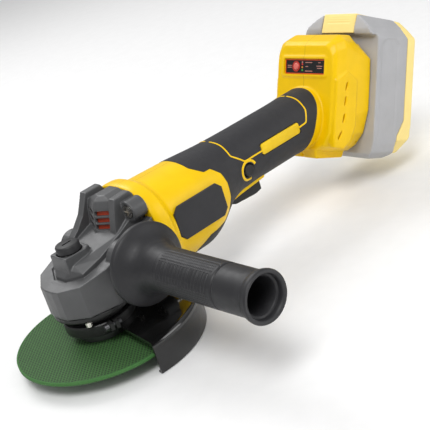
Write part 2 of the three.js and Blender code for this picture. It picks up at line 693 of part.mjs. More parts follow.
function hexOutline(radius) {
  return [0, 1, 2, 3, 4, 5].map((i) => {
    const angle = (i * Math.PI) / 3;
    return [radius * Math.cos(angle), radius * Math.sin(angle)];
  });
}

function handleStud() {
  const at = HANDLE_AT;
  const hex = plate(hexOutline(8.1), -64.2, -56.3, "y").translate(at);
  return join(rod(4.9, -71.5, -36.2, "y", at, 24), hex);
}

function displayPanel() {
  const sheet = brick([0.5, -21.1, 37.3], [1.9, 21.1, 48.4]);
  return cut(sheet, rod(3.1, -2, 4, "x", [0, 9, 43], 16));
}

function speedButton() {
  return join(rod(2.7, -0.6, 3, "x", [0, 9, 43], 16), rod(1.1, 2.9, 5.4, "x", [0, 9, 43], 10));
}

function controlBoard() {
  return join(brick([6.6, -20, -8], [8.4, 20, 49]), brick([8.2, -12, 4], [16, 12, 30]));
}

function terminalBlock() {
  const base = brick([19.5, -16, -4], [25.2, 16, 24]);
  const blades = [-10.5, 10.5].map((y) => brick([25, y - 0.5, 1], [33.5, y + 0.5, 19]));
  return join(base, ...blades);
}

// Battery pack, in the block's frame.
function packBody() {
  const { front, half, top, bottom } = PACK;
  const side = [
    [front, bottom + 4], [front, 68.2], [34.6, 68.2], [33.6, 72], [36.6, top], [71.5, 80.4], [71.5, 74],
    [74.7, 66], [74.7, 3], [67.5, -9], [66.5, -23.5], [60, bottom], [front + 4, bottom],
  ];
  const across = [
    [-half + 8, bottom], [half - 8, bottom], [half - 2, bottom + 5], [half, bottom + 14], [half, 67],
    [half - 5, 74.6], [half - 12, 79.8], [half - 19, top], [-half + 19, top], [-half + 12, 79.8],
    [-half + 5, 74.6], [-half, 67], [-half, bottom + 14], [-half + 2, bottom + 5],
  ];
  const body = plate(side, -60, 60, "y").intersect(plate(across, 20, 90, "x"));
  const room = brick([44, -half + 3, bottom + 5], [90, half - 3, 62]);
  const neck = brick([RAIL.lip - 0.2, -RAIL.neck, RAIL.low], [front + 2, RAIL.neck, RAIL.high]);
  const rail = brick([RAIL.front, -RAIL.wide, RAIL.low], [RAIL.lip, RAIL.wide, RAIL.high]);
  const slots = [-10.5, 10.5].map((y) => brick([20, y - 1, -20], [34.5, y + 1, 24]));
  const buttonPocket = join(brick([30, -17.4, 69.8], [56, 17.4, 90]), brick([30, -17.4, 60], [36.4, 17.4, 71]));
  return cut(join(body, neck, rail), room, ...slots, buttonPocket);
}

function packCap() {
  const { back, half } = PACK;
  const side = [
    [66.8, -23], [74, -22.5], [82.5, -10], [back, 0], [back, 65], [81, 73], [77, 79], [71.8, 80],
    [71.8, 74.1], [75, 66.1], [75, 2.9], [67.8, -9.1],
  ];
  const across = [
    [-half + 6, -23], [half - 6, -23], [half, -12], [half, 67], [half - 12, 79.8], [-half + 12, 79.8],
    [-half, 67], [-half, -12],
  ];
  const body = plate(side, -60, 60, "y").intersect(plate(across, 60, 95, "x"));
  return cut(body, brick([66, -half + 4, -14], [80.5, half - 4, 60]));
}

function packButton() {
  const side = [[33.6, 69.2], [36.6, 84.4], [55, 82.6], [55, 71.4], [36.1, 71.4], [36.1, 69.2]];
  return plate(side, -17, 17, "y");
}

function packCells() {
  const spots = [[53.6, -6], [53.6, 16], [53.6, 38], [70.4, 5], [70.4, 27]];
  const half = CELL.length / 2;
  return spots.map(([x, z]) => rod(CELL.radius, -half, half, "y", [x, 0, z], 18));
}

function powerLead(side) {
  const points = [[157.5, 4, 66], [172, 5, 62], [195, 5, 60], [212, 6, 59], [220.5, 7, 57.5]];
  const path = new THREE.CatmullRomCurve3(points.map(([x, y, z]) => new THREE.Vector3(x, side * y, z)));
  const wire = new THREE.Shape().absarc(0, 0, 1.4, 0, 2 * Math.PI);
  return solid(new THREE.ExtrudeGeometry(wire, { steps: 10, curveSegments: 3, extrudePath: path }));
}

// Gear head.
add("gear_housing", gearHousing(), castGrey);
cornerSpots().forEach((at, i) => add(`gear_housing_screw_${i + 1}`, screw(31.6, 52, "x", at, 4.3), steel));
add("bearing_plate", bearingPlate(), black);
plateSpots().forEach((at, i) =>
  add(`bearing_plate_screw_${i + 1}`, screw(18.9, 33, "z", at, 2.5, 1.5), steel),
);
add("hood_filter", hoodFilter(), red);
add("spindle_lock_button", spindleLockButton(), black);
add("spindle_lock_spring", spindleLockSpring(), steel);
add("wheel_guard", wheelGuard(), black);
add("guard_clamp_screw", guardClampScrew(), steel);

// Spindle, gears and disc.
const discHalf = DISC.thick / 2;
add("spindle", spindle(), steel);
add("crown_gear", crownGear(), darkSteel);
add("spindle_lower_bearing", bearing(6.2, 16, 15.3, 25.6, "z"), steel);
add("spindle_upper_bearing", bearing(3.5, 6.1, 47, 54, "z"), steel);
add("inner_flange", turned([
  [7.2, -discHalf + 0.2], [10.7, -discHalf + 0.2], [10.7, discHalf + GAP], [17.5, discHalf + GAP],
  [17.5, 5], [15, 7.6], [7.2, 7.6], [7.2, -discHalf + 0.2],
]), darkSteel);
add("cutting_disc", ring(DISC.bore, DISC.radius, -discHalf, discHalf, "z", [0, 0, 0], 64), discGreen);
add("outer_flange_nut", turned([
  [7.2, -7.6], [16, -7.6], [20, -5.6], [20, -discHalf - GAP], [7.2, -discHalf - GAP], [7.2, -7.6],
]), darkSteel);

// Motor.
const motorAt = [0, 0, MOTOR_Z];
add("motor_shaft", motorShaft(), steel);
add("pinion_gear", pinion(), darkSteel);
add("cooling_fan", coolingFan(), fanRed);
add("rotor", rotor(), darkSteel);
add("stator", stator(), copper);
add("motor_front_bearing", bearing(5, 13, 34, 42.6, "x", motorAt), steel);
add("motor_rear_bearing", bearing(4, 9.6, 97.9, 104.3, "x", motorAt), steel);

// Housing halves and what is set into them.
const housing = cut(housingWhole(), triggerPinHole());
const overmould = overmouldWhole();
add("housing_left", halfOf(housing, -1), yellow);
add("housing_right", halfOf(housing, 1), yellow);
add("grip_overmould_left", halfOf(overmould, -1), softBlack);
add("grip_overmould_right", halfOf(overmould, 1), softBlack);
add("badge_plate_left", badge(), black);
add("badge_plate_right", mirrored(badge()), black);
const gripPlate = gripPlatePocket(0).intersect(brick([100, -21.6, 0], [250, 0, 200]));
add("grip_plate_left", gripPlate, yellow);
add("grip_plate_right", mirrored(gripPlate), yellow);
clamshellSpots().forEach(([x, z], i) =>
  add(`housing_screw_${i + 1}`, screw(15.6, -9, "y", [x, 0, z], 3.2, 1.5), steel),
);
add("trigger", trigger(), black);
add("trigger_pin", triggerPin(), steel);
add("lock_on_button", lockOnButton(), black);
add("switch_body", switchBody(), black);
add("side_handle_grip", sideHandle(), black);
add("side_handle_stud", handleStud(), steel);

// Electronics in the rear block.
add("display_panel", tilted(displayPanel()), black);
add("speed_button", tilted(speedButton()), red);
add("control_board", tilted(controlBoard()), boardGreen);
add("terminal_block", tilted(terminalBlock()), black);
add("power_lead_positive", powerLead(-1), red);
add("power_lead_negative", powerLead(1), black);

// Battery pack.
add("battery_case", tilted(packBody()), packGrey);
add("battery_end_cap", tilted(packCap()), packYellow);
add("battery_release_button", tilted(packButton()), packYellow);
packCells().forEach((cell, i) => add(`battery_cell_${i + 1}`, tilted(cell), cellBlue));

export default grinder;
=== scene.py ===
import math

import bmesh
import bpy
import numpy as np
from mathutils import Matrix, Vector


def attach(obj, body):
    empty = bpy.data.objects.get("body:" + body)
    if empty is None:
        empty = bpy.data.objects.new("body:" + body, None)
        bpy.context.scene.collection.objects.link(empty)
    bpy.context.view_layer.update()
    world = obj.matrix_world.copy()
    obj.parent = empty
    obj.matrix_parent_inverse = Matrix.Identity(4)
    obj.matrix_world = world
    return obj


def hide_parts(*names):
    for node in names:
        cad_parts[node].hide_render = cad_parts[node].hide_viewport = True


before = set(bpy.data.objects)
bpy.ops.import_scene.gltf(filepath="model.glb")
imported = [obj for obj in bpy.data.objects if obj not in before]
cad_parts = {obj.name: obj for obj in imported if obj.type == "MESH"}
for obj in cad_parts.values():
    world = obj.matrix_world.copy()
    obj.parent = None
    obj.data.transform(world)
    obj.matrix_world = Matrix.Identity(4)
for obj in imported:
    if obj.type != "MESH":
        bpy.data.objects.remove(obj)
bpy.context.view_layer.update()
scene = bpy.context.scene
MM = 0.001
MERGE = 1e-6  # vertices closer than this become one
LIFT = 9  # the middle of the disc above the frame's origin
MOTOR_Z = 49.5
TILT = math.radians(23.3)
BLOCK_AT = (216.1, 54.8)
HANDLE_AT = (17.9, 51)
FLOOR_Z = -11.9  # just under the guard's lower edge
FLOOR_HALF = 9000


# ---------- geometry tools ----------
def link(mesh, name):
    obj = bpy.data.objects.new(name, mesh)
    scene.collection.objects.link(obj)
    return obj


def build(name, vertices, faces):
    mesh = bpy.data.meshes.new(name)
    mesh.from_pydata([(x * MM, y * MM, (z + LIFT) * MM) for x, y, z in vertices], [], faces)
    bm = bmesh.new()
    bm.from_mesh(mesh)
    bmesh.ops.remove_doubles(bm, verts=bm.verts, dist=MERGE)
    bmesh.ops.recalc_face_normals(bm, faces=bm.faces)
    bm.to_mesh(mesh)
    bm.free()
    return link(mesh, name)


def quads(rows, columns, closed_rows=False):
    faces = []
    for r in range(rows if closed_rows else rows - 1):
        for c in range(columns):
            s, d = (r + 1) % rows, (c + 1) % columns
            faces.append((r * columns + c, r * columns + d, s * columns + d, s * columns + c))
    return faces


def loft(name, rings):
    """A solid through rings of points, closed by a flat face at each end."""
    count = len(rings[0])
    faces = quads(len(rings), count)
    faces.append(tuple(range(count))[::-1])
    faces.append(tuple(range((len(rings) - 1) * count, len(rings) * count)))
    return build(name, [p for ring in rings for p in ring], faces)


def along(axis, radius, height, angle, at):
    c, s = radius * math.cos(angle), radius * math.sin(angle)
    if axis == "x":
        return (height, at[1] + c, at[2] + s)
    if axis == "y":
        return (at[0] + c, height, at[2] + s)
    return (at[0] + c, at[1] + s, height)


def lathe(name, profile, axis="z", at=(0, 0, 0), sides=96, closed=True):
    rings = [
        [along(axis, r, h, 2 * math.pi * i / sides, at) for i in range(sides)] for r, h in profile
    ]
    faces = quads(len(rings), sides, closed_rows=closed)
    return build(name, [p for ring in rings for p in ring], faces)


def prism(name, outline, low, high, axis="z"):
    place = {
        "x": lambda a, b, h: (h, a, b),
        "y": lambda a, b, h: (a, h, b),
        "z": lambda a, b, h: (a, b, h),
    }[axis]
    return loft(name, [[place(a, b, h) for a, b in outline] for h in (low, high)])


def brick(name, low, high):
    outline = [(low[0], low[1]), (high[0], low[1]), (high[0], high[1]), (low[0], high[1])]
    return prism(name, outline, low[2], high[2])


def drum(name, radius, low, high, axis, at, sides=48):
    return lathe(name, [(0, low), (radius, low), (radius, high), (0, high)], axis, at, sides, False)


def settle(obj):
    """The object's mesh with its modifiers applied."""
    mesh = bpy.data.meshes.new_from_object(obj.evaluated_get(bpy.context.evaluated_depsgraph_get()))
    old = obj.data
    obj.modifiers.clear()
    obj.data = mesh
    bpy.data.meshes.remove(old)
    return obj


def modified(obj, kind, **settings):
    modifier = obj.modifiers.new(kind, kind)
    for key, value in settings.items():
        setattr(modifier, key, value)
    return settle(obj)


def combine(name, objects):
    bm = bmesh.new()
    for obj in objects:
        bm.from_mesh(obj.data)
        drop(obj)
    mesh = bpy.data.meshes.new(name)
    bm.to_mesh(mesh)
    bm.free()
    return link(mesh, name)


def drop(obj):
    mesh = obj.data
    bpy.data.objects.remove(obj)
    bpy.data.meshes.remove(mesh)


def boolean(obj, others, operation="DIFFERENCE"):
    for other in others:
        modifier = obj.modifiers.new("cut", "BOOLEAN")
        modifier.operation = operation
        modifier.solver = "EXACT"
        modifier.object = other
        settle(obj)
        drop(other)
    return obj


def voxel(obj, size, smooth, keep=1.0):
    """Fuses overlapping solids into one skin with softly rounded edges."""
    modified(obj, "REMESH", mode="VOXEL", voxel_size=size * MM, adaptivity=0)
    modified(obj, "SMOOTH", factor=0.5, iterations=smooth)
    if keep < 1:
        modified(obj, "DECIMATE", ratio=keep)
    return obj


def copy_of(name, *nodes):
    bm = bmesh.new()
    for node in nodes:
        bm.from_mesh(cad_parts[node].data)
    bmesh.ops.remove_doubles(bm, verts=bm.verts, dist=MERGE)
    mesh = bpy.data.meshes.new(name)
    bm.to_mesh(mesh)
    bm.free()
    return link(mesh, name)


def tilted(obj):
    """From the rear block's own axes, x' out of its back and z' up, to the frame's."""
    turn = Matrix.Rotation(TILT, 4, "Y")
    into = Matrix.Translation((BLOCK_AT[0] * MM, 0, (BLOCK_AT[1] + LIFT) * MM))
    obj.data.transform(into @ turn @ Matrix.Translation((0, 0, -LIFT * MM)))
    return obj


def mirrored(obj, name):
    mesh = obj.data.copy()
    mesh.transform(Matrix.Scale(-1, 4, (0, 1, 0)))
    mesh.flip_normals()
    return link(mesh, name)


def shade(obj, angle=None):
    obj.data.polygons.foreach_set("use_smooth", [True] * len(obj.data.polygons))
    if angle is not None:
        obj.data.set_sharp_from_angle(angle=math.radians(angle))
    return obj


def finish(obj, material, body, nodes=(), angle=None):
    obj.data.materials.clear()
    obj.data.materials.append(material)
    shade(obj, angle)
    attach(obj, body)
    if nodes:
        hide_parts(*nodes)
    return obj


# ---------- materials ----------
def node_tree(name):
    material = bpy.data.materials.new(name)
    material.use_nodes = True
    tree = material.node_tree
    return material, tree, tree.nodes["Principled BSDF"]


def noise(tree, scale, detail=3):
    coords = tree.nodes.new("ShaderNodeTexCoord")
    texture = tree.nodes.new("ShaderNodeTexNoise")
    texture.inputs["Scale"].default_value = scale
    texture.inputs["Detail"].default_value = detail
    texture.inputs["Roughness"].default_value = 0.55
    tree.links.new(coords.outputs["Object"], texture.inputs["Vector"])
    return texture.outputs["Fac"]


def ramp(tree, value, low, high, start, end):
    """Maps value from low..high to start..end."""
    node = tree.nodes.new("ShaderNodeMapRange")
    for key, number in (("From Min", low), ("From Max", high), ("To Min", start), ("To Max", end)):
        node.inputs[key].default_value = number
    tree.links.new(value, node.inputs["Value"])
    return node.outputs["Result"]


def mix(tree, factor, first, second):
    node = tree.nodes.new("ShaderNodeMix")
    node.data_type = "RGBA"
    tree.links.new(factor, node.inputs["Factor"])
    for socket, colour in ((node.inputs["A"], first), (node.inputs["B"], second)):
        if isinstance(colour, tuple):
            socket.default_value = (*colour, 1)
        else:
            tree.links.new(colour, socket)
    return node.outputs["Result"]


def bump(tree, shader, height, distance):
    node = tree.nodes.new("ShaderNodeBump")
    node.inputs["Strength"].default_value = 1.0
    node.inputs["Distance"].default_value = distance * MM
    tree.links.new(height, node.inputs["Height"])
    tree.links.new(node.outputs["Normal"], shader.inputs["Normal"])


def surface(name, colour, rough, grain=0.05, grain_scale=1800, vary=0.06, metal=0.0, edge=0.0, coat=0.0,
            shine=0.5, seam=False):
    """A moulded, cast or painted finish: cloudy colour, uneven gloss, fine grain and a painted highlight
    along the edges.
    """
    material, tree, shader = node_tree(name)
    dark = tuple(c * (1 - vary) for c in colour)
    light = tuple(min(1, c * (1 + vary)) for c in colour)
    clouds = noise(tree, 70)
    tone = mix(tree, ramp(tree, clouds, 0.35, 0.65, 0, 1), dark, light)
    # Edges are lightened where Pointiness is high. This is a painted highlight standing in for light catching
    # the edges, not wear.
    if edge:
        geometry = tree.nodes.new("ShaderNodeNewGeometry")
        painted_edge_highlight = tuple(min(1, c * 1.8 + 0.06) for c in colour)
        rim = ramp(tree, geometry.outputs["Pointiness"], 0.52, 0.6, 0, edge)
        tone = mix(tree, rim, tone, painted_edge_highlight)
    if seam:
        coords = tree.nodes.new("ShaderNodeTexCoord")
        split = tree.nodes.new("ShaderNodeSeparateXYZ")
        tree.links.new(coords.outputs["Object"], split.inputs["Vector"])
        away = tree.nodes.new("ShaderNodeMath")
        away.operation = "ABSOLUTE"
        tree.links.new(split.outputs["Y"], away.inputs[0])
        line = ramp(tree, away.outputs[0], 0.08 * MM, 0.2 * MM, 0, 1)
        tone = mix(tree, line, tuple(c * 0.45 for c in colour), tone)
    tree.links.new(tone, shader.inputs["Base Color"])
    gloss = ramp(tree, noise(tree, 240), 0.3, 0.7, max(0, rough - 0.05), min(1, rough + 0.05))
    tree.links.new(gloss, shader.inputs["Roughness"])
    shader.inputs["Metallic"].default_value = metal
    shader.inputs["Specular IOR Level"].default_value = shine
    if coat:
        shader.inputs["Coat Weight"].default_value = coat
        shader.inputs["Coat Roughness"].default_value = 0.05
    bump(tree, shader, noise(tree, grain_scale, 2), grain)
    return material


YELLOW = surface("yellow_moulding", (0.86, 0.54, 0.0), 0.34, grain=0.015, vary=0.03, shine=0.25, seam=True)
CAST = surface("grey_casting", (0.078, 0.079, 0.081), 0.42, grain=0.05, metal=0.2, edge=0.7)
BLACK_CAST = surface("black_casting", (0.012, 0.012, 0.012), 0.38, grain=0.03, metal=0.2, edge=0.3)
RUBBER = surface("soft_grip", (0.026, 0.026, 0.029), 0.6, grain=0.05, grain_scale=2600, edge=0.15, shine=0.35)
HANDLE_RUBBER = surface("handle_rubber", (0.019, 0.019, 0.021), 0.48, grain=0.03, edge=0.3, shine=0.35)
BLACK = surface("black_moulding", (0.016, 0.016, 0.017), 0.5, grain=0.03, edge=0.2, shine=0.35)
GLOSS = surface("guard_top_paint", (0.004, 0.004, 0.004), 0.12, grain=0.004, vary=0.0, coat=0.5)
SATIN = surface("guard_skirt_paint", (0.012, 0.012, 0.012), 0.34, grain=0.02, vary=0.05)
PACK = surface("pack_moulding", (0.40, 0.40, 0.41), 0.5, grain=0.04, vary=0.03)
PACK_YELLOW = surface("pack_yellow_moulding", (0.94, 0.74, 0.26), 0.45, grain=0.02, vary=0.02)
STEEL = surface("bright_steel", (0.82, 0.79, 0.73), 0.26, grain=0.005, metal=1.0, vary=0.05)
GEAR_STEEL = surface("gear_steel", (0.34, 0.34, 0.35), 0.38, grain=0.03, metal=1.0)
DARK_STEEL = surface("dark_steel", (0.10, 0.10, 0.105), 0.4, grain=0.02, metal=0.8, edge=0.3)
COPPER = surface("copper_windings", (0.55, 0.24, 0.10), 0.35, grain=0.08, grain_scale=900, metal=1.0)
FAN = surface("fan_moulding", (0.45, 0.05, 0.015), 0.5, grain=0.02)
MAGNET = surface("rotor_coating", (0.16, 0.16, 0.17), 0.5, grain=0.04, metal=0.6)
BOARD = surface("board_lacquer", (0.02, 0.12, 0.05), 0.4, grain=0.05, grain_scale=600)
RED = surface("red_moulding", (0.62, 0.035, 0.02), 0.4, grain=0.01)
SCREEN = surface("display_window", (0.008, 0.008, 0.009), 0.15, grain=0.003, vary=0.0)
WIRE_BLACK = surface("black_wire", (0.02, 0.02, 0.02), 0.45)
CELL = surface("cell_sleeve", (0.05, 0.16, 0.4), 0.35)
GRIP_PLATE = surface("grip_plate_moulding", (0.80, 0.53, 0.004), 0.5, grain=0.16, grain_scale=1100, shine=0.4)


# ---------- camera, light and floor ----------
def setting():
    camera = bpy.data.cameras.new("camera")
    camera.lens = 83.72
    camera.sensor_width = 36
    holder = bpy.data.objects.new("camera", camera)
    scene.collection.objects.link(holder)
    right, up, back = (0.7192, -0.6355, -0.2809), (0.4571, 0.1282, 0.8801), (-0.5233, -0.7614, 0.3827)
    place = Matrix((right, up, back)).transposed().to_4x4()
    place.translation = (-0.2640, -0.5488, 0.3134)
    holder.matrix_world = place
    scene.camera = holder

    corners = [(-1, -1), (1, -1), (1, 1), (-1, 1)]
    floor = build("floor", [(x * FLOOR_HALF, y * FLOOR_HALF, FLOOR_Z) for x, y in corners], [(0, 1, 2, 3)])
    floor.data.materials.append(surface("floor_paper", (0.86, 0.86, 0.86), 0.8, grain=0.0, vary=0.01))

    world = bpy.data.worlds.new("studio")
    world.use_nodes = True
    tree = world.node_tree
    coords = tree.nodes.new("ShaderNodeTexCoord")
    split = tree.nodes.new("ShaderNodeSeparateXYZ")
    tree.links.new(coords.outputs["Generated"], split.inputs["Vector"])
    sky = mix(tree, ramp(tree, split.outputs["Z"], -0.2, 0.8, 0, 1), (0.25, 0.25, 0.26), (1, 1, 1))
    tree.links.new(sky, tree.nodes["Background"].inputs["Color"])
    tree.nodes["Background"].inputs["Strength"].default_value = 0.62
    scene.world = world
    aim = Vector((0.1, -0.02, 0.06))
    for name, spot, size, power in (
        ("key", (-0.5, -0.7, 1.3), 0.6, 13),
        ("fill", (1.0, -1.1, 0.6), 0.8, 5),
        ("rim", (0.2, 1.0, 1.1), 0.7, 8),
    ):
        light = bpy.data.lights.new(name, "AREA")
        light.energy = power
        light.size = size
        lamp = bpy.data.objects.new(name, light)
        scene.collection.objects.link(lamp)
        lamp.location = spot
        lamp.rotation_euler = (Vector(spot) - aim).to_track_quat("Z", "Y").to_euler()
    scene.view_settings.view_transform = "Standard"


# ---------- handle body ----------
# Stations along X: middle height, half width, half height, squareness.
BODY = np.array([
    (43.3, 50.6, 35.6, 35.2, 2.5), (46, 50.6, 37.2, 36.3, 2.45), (53.5, 50.6, 37.2, 36.2, 2.4),
    (58.5, 49.8, 33.4, 33, 2.2), (92, 49.5, 32.8, 32.6, 2.15), (103, 51.3, 30.6, 30.2, 2.15),
    (112, 54.3, 27.4, 26.8, 2.15), (121, 57, 24.2, 23.8, 2.15), (132, 58.7, 22, 22, 2.15),
    (150, 59.2, 21.2, 21.4, 2.15), (194, 59.2, 21.3, 21.4, 2.15), (208, 59, 22.2, 21.8, 2.2),
    (230, 59, 22.8, 22, 2.2),
])


def station(x):
    """Middle, half width, half height and squareness at x, with the corners between stations eased."""
    soft = 1.0 if x < 66 else 4.0
    spread = x + np.linspace(-soft, soft, 9)
    return [float(np.interp(spread, BODY[:, 0], BODY[:, k]).mean()) for k in range(1, 5)]


def body_ring(x, grow):
    mid, wide, high, square = station(x)
    sides = 96
    ring = []
    for i in range(sides):
        c, s = math.cos(2 * math.pi * i / sides), math.sin(2 * math.pi * i / sides)
        y = (wide + grow) * math.copysign(abs(c) ** (2 / square), c)
        z = mid + (high + grow) * math.copysign(abs(s) ** (2 / square), s)
        ring.append((x, y, z))
    return ring


def body(name, low, high, grow=0.0, step=2.0):
    count = max(2, int((high - low) / step) + 1)
    return loft(name, [body_ring(x, grow) for x in np.linspace(low, high, count)])


def octagon(x, z, corner, grow=0.0):
    (x0, x1), (z0, z1) = (x[0] - grow, x[1] + grow), (z[0] - grow, z[1] + grow)
    c = corner
    return [(x0 + c, z0), (x1 - c, z0), (x1, z0 + c), (x1, z1 - c),
            (x1 - c, z1), (x0 + c, z1), (x0, z1 - c), (x0, z0 + c)]


# ---------- motor housing, overmould and grip ----------
EDGE = [
    (89, 90), (92, 78), (99, 72.5), (105, 72), (111, 66), (113, 58), (112.5, 47),
    (109, 38), (103, 33.5), (86, 32), (76, 25), (71, 10), (191, 10), (199, 40), (210, 60),
    (217.5, 71), (223, 81), (226, 90),
]
BADGE = ((59.5, 102.5), (41, 65.3), 4.2)
PAD = ((53.5, 108.6), (35.8, 71), 7)
PAD_TOP = ((57, 105.6), (38.4, 68), 5.6)
PLATE = ((154.5, 194), (58.6, 67))
TRIGGER = {"x": 122, "z": 41, "end": 154, "low": 30.2, "half": 9.4}
LOCK_ON = (138.2, 54.6)


def side_pads():
    levels = [(22, PAD), (34.0, PAD), (34.9, PAD_TOP), (35.1, PAD_TOP)]
    rings = [[(x, -h, z) for x, z in octagon(*shape)] for h, shape in levels]
    left = loft("pad", rings)
    return [left, mirrored(left, "pad")]


def badge_pockets(grow=0.3):
    outline = octagon(*BADGE, grow)
    return [prism("pocket", outline, low, high, "y") for low, high in ((-40, -31.8), (31.8, 40))]


def overmould_region(shift=0.0):
    outline = [(x + (shift if x > 180 else -shift), z) for x, z in EDGE]
    return prism("region", outline, -60, 60, "y")


def motor_shell():
    skin = combine("motor_shell", [body("skin", 43.5, 120), *side_pads()])
    boolean(skin, [drum("room", 30, 40, 56, "x", (0, 0, MOTOR_Z))])
    voxel(skin, 0.5, 6, 0.35)
    lines = []
    for side in (-1, 1):
        y0, y1 = sorted((side * 34.5, side * 40))
        line = prism("line", octagon(*BADGE, 2.7), y0, y1, "y")
        lines.append(boolean(line, [prism("line", octagon(*BADGE, 2.1), -50, 50, "y")]))
    boolean(skin, [overmould_region(0.2), *badge_pockets(), *lines])
    return finish(skin, YELLOW, "housing", ("housing_left", "housing_right"), 40)


def trigger_slot():
    t = TRIGGER
    return brick("slot", (t["x"] - 6.5, -t["half"] - 0.5, 20), (t["end"] + 1.2, t["half"] + 0.5, 56))


def plate_pocket(side):
    (x0, x1), (z0, z1) = PLATE
    grow = 0.3
    y0, y1 = sorted((side * 26, side * 19.6))
    return brick("pocket", (x0 - grow, y0, z0 - grow), (x1 + grow, y1, z1 + grow))


def ahead_of_block(gap):
    """Everything in front of the rear block, up to gap from its face."""
    return tilted(brick("front", (-260, -60, -120), (-gap, 60, 160)))


def overmould():
    skin = body("overmould", 60, 230, 0.15)
    pads = [prism("pad", octagon(*PAD, 0.3), low, high, "y") for low, high in ((-40, -20), (20, 40))]
    hole = drum("hole", 5.1, -40, -5, "y", (LOCK_ON[0], 0, LOCK_ON[1]))
    screws = [drum("hole", 3.7, 14, 40, "y", (x, 0, z)) for x, z in ((113, 72), (200, 47), (200, 72))]
    boolean(skin, [trigger_slot(), hole, plate_pocket(-1), plate_pocket(1), *pads, *screws])
    voxel(skin, 0.5, 6, 0.4)
    boolean(skin, [overmould_region(), ahead_of_block(0.4)], "INTERSECT")
    nodes = ("grip_overmould_left", "grip_overmould_right")
    return finish(skin, RUBBER, "housing", nodes, 40)


def grip_core():
    core = body("grip_core", 50, 224, -2.6, 3)
    boolean(core, [trigger_slot(), drum("hole", 5.3, -40, -5, "y", (LOCK_ON[0], 0, LOCK_ON[1]))])
    boolean(core, badge_pockets(0.1))
    return finish(core, BLACK, "housing", angle=40)


def skin_point(x, turn, grow=0.0):
    """Point of the body's skin at x, turned from the top by turn radians towards -Y."""
    mid, wide, high, square = station(x)
    c, s = math.sin(turn), math.cos(turn)
    y = -(wide + grow) * math.copysign(abs(c) ** (2 / square), c)
    z = mid + (high + grow) * math.copysign(abs(s) ** (2 / square), s)
    return Vector((x, y, z))


def turn_at(x, z):
    mid, _, high, square = station(x)
    t = max(-1.0, min(1.0, (z - mid) / high))
    return math.acos(math.copysign(abs(t) ** (square / 2), t))


def cornered_path(points):
    """Straight runs between (x, turn) points, sampled evenly, with the corners slightly eased."""
    step, radius = 0.8, 21.0
    out = []
    for (x0, t0), (x1, t1) in zip(points, points[1:]):
        count = max(2, int(math.hypot(x1 - x0, (t1 - t0) * radius) / step))
        out += [(x0 + (x1 - x0) * i / count, t0 + (t1 - t0) * i / count) for i in range(count)]
    out = np.array([*out, points[-1]], float)
    for _ in range(2):
        out[1:-1] = (out[:-2] + 2 * out[1:-1] + out[2:]) / 4
    return out


def strip(name, route, width=1.2):
    """A raised line that lies on the body's skin along (x, turn) points."""
    half, proud, sunk = width / 2, 0.4, 0.7
    path = cornered_path(route)
    centres = [skin_point(x, turn) for x, turn in path]
    rings = []
    for i, (x, turn) in enumerate(path):
        before, after = centres[max(0, i - 1)], centres[min(len(path) - 1, i + 1)]
        tangent = (after - before).normalized()
        normal = (skin_point(x, turn, 1) - centres[i]).normalized()
        across = tangent.cross(normal).normalized()
        normal = across.cross(tangent)
        section = [(-half, -sunk), (-half, proud * 0.55), (-half * 0.72, proud), (half * 0.72, proud),
                   (half, proud * 0.55), (half, -sunk)]
        rings.append([centres[i] + across * a + normal * b for a, b in section])
    return loft(name, rings)


def inlays():
    upper = [(125.8, 0.09), (127.2, 0.52), (127.0, 1.01), (136.5, 1.43), (154.6, 1.45)]
    lower = [(193.8, 1.42), (201.2, 1.39), (206.0, 1.0), (207.2, 0.5), (207.0, 0.04)]
    left = combine("grip_inlay_left", [strip("front", upper), strip("rear", lower)])
    right = mirrored(left, "grip_inlay_right")
    arc = []
    for degrees in range(20, 285, 12):
        x = LOCK_ON[0] + 7.1 * math.cos(math.radians(degrees))
        arc.append((x, turn_at(x, LOCK_ON[1] + 7.1 * math.sin(math.radians(degrees)))))
    ring = strip("lock_on_ring", arc, 1.9)
    lip = [(124, 36.4), (132, 37.4), (144, 38.4), (156, 39.2), (157.2, 40.2), (157, 42.4), (140, 42),
           (124, 41.4), (118.5, 38)]
    lip_left = prism("trigger_lip_left", lip, -12.4, -10.1, "y")
    modified(lip_left, "BEVEL", width=0.4 * MM, segments=2)
    lip_right = mirrored(lip_left, "trigger_lip_right")
    for piece in (left, right, ring, lip_left, lip_right):
        finish(piece, YELLOW, "housing", angle=40)


def grip_plates():
    (x0, x1), (z0, z1) = PLATE
    rings = []
    for inset, y in ((0.1, 20.2), (0.1, 21.0), (0.8, 21.55)):
        corner = 1.2
        outline = octagon((x0 + inset, x1 - inset), (z0 + inset, z1 - inset), corner)
        rings.append([(x, -y, z) for x, z in outline])
    left = loft("grip_pad_left", rings)
    right = mirrored(left, "grip_pad_right")
    for piece, side in ((left, "left"), (right, "right")):
        finish(piece, GRIP_PLATE, "housing", ("grip_plate_" + side,), angle=30)


def badges():
    levels = [(-0.05, 32.1), (-0.05, 33.35), (0.35, 33.7)]
    rings = [[(x, -y, z) for x, z in octagon(*BADGE, -inset)] for inset, y in levels]
    left = loft("badge_left", rings)
    right = mirrored(left, "badge_right")
    for piece, side in ((left, "left"), (right, "right")):
        finish(piece, BADGE_FINISH, "housing", ("badge_plate_" + side,), angle=30)


def trigger():
    t = TRIGGER
    side = [
        (t["x"] - 3, t["z"] + 2), (t["x"] - 4.5, t["z"] - 3), (t["x"] - 1, 34.2),
        (t["x"] + 6, t["low"] + 0.9), (t["x"] + 16, t["low"] + 0.2), (t["end"] - 6, t["low"] - 0.4),
        (t["end"] - 0.2, t["low"] + 0.8), (t["end"], t["z"] + 4.7), (t["end"] - 12, t["z"] + 4.7),
        (t["x"] + 4, t["z"] + 3.7),
    ]
    half = t["half"] - 0.15
    piece = prism("trigger_paddle", side, -half, half, "y")
    voxel(piece, 0.45, 4, 0.7)
    return finish(piece, BLACK, "trigger", ("trigger",))


